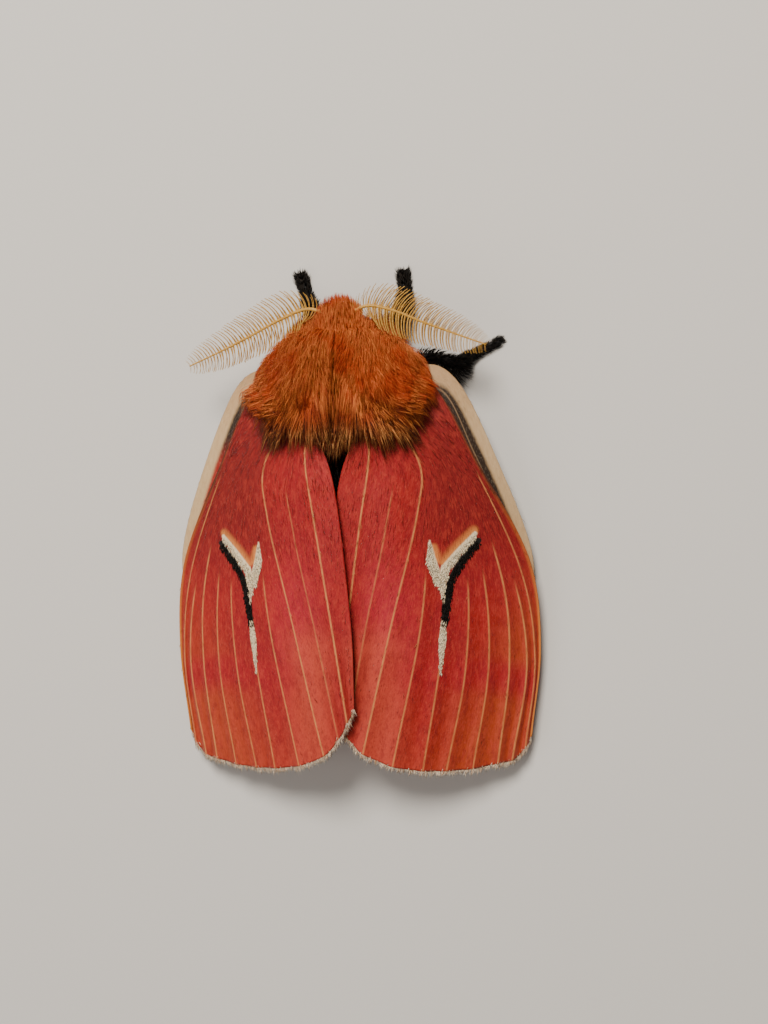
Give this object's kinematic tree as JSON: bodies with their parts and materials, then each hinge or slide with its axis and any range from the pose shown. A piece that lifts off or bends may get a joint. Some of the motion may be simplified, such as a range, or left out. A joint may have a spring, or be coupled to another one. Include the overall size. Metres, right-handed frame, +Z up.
{
  "type": "moth",
  "caption": "Still, life-size silkmoth at rest, wings roofed over the body, feathery antennae spread and a long orange coat on the thorax.",
  "frame": {"origin": "on the floor under the centre of the moth's outline", "axes": "+Y along the body towards the head, +X to the moth's right, +Z up from the floor"},
  "size_m": [0.038, 0.0505, 0.0136],
  "materials": {
    "orange_coat": "long soft hair",
    "red_scales": "matte scales",
    "cream_scales": "matte scales",
    "yellow_antenna": "horny, slightly translucent",
    "black_coat": "short dense hair",
    "eye": "glossy, faceted"
  },
  "bodies": {
    "root": {"thorax": "orange_coat", "head": "orange_coat", "abdomen": "black_coat", "eye_left": "eye", "eye_right": "eye", "antenna_left": "yellow_antenna", "antenna_right": "yellow_antenna", "forewing_left": "red_scales", "forewing_right": "red_scales", "hindwing_left": "cream_scales", "hindwing_right": "cream_scales", "foreleg_left": "black_coat", "foreleg_right": "black_coat", "midleg_left": "black_coat", "midleg_right": "black_coat", "hindleg_left": "black_coat", "hindleg_right": "black_coat"}
  },
  "joints": []
}
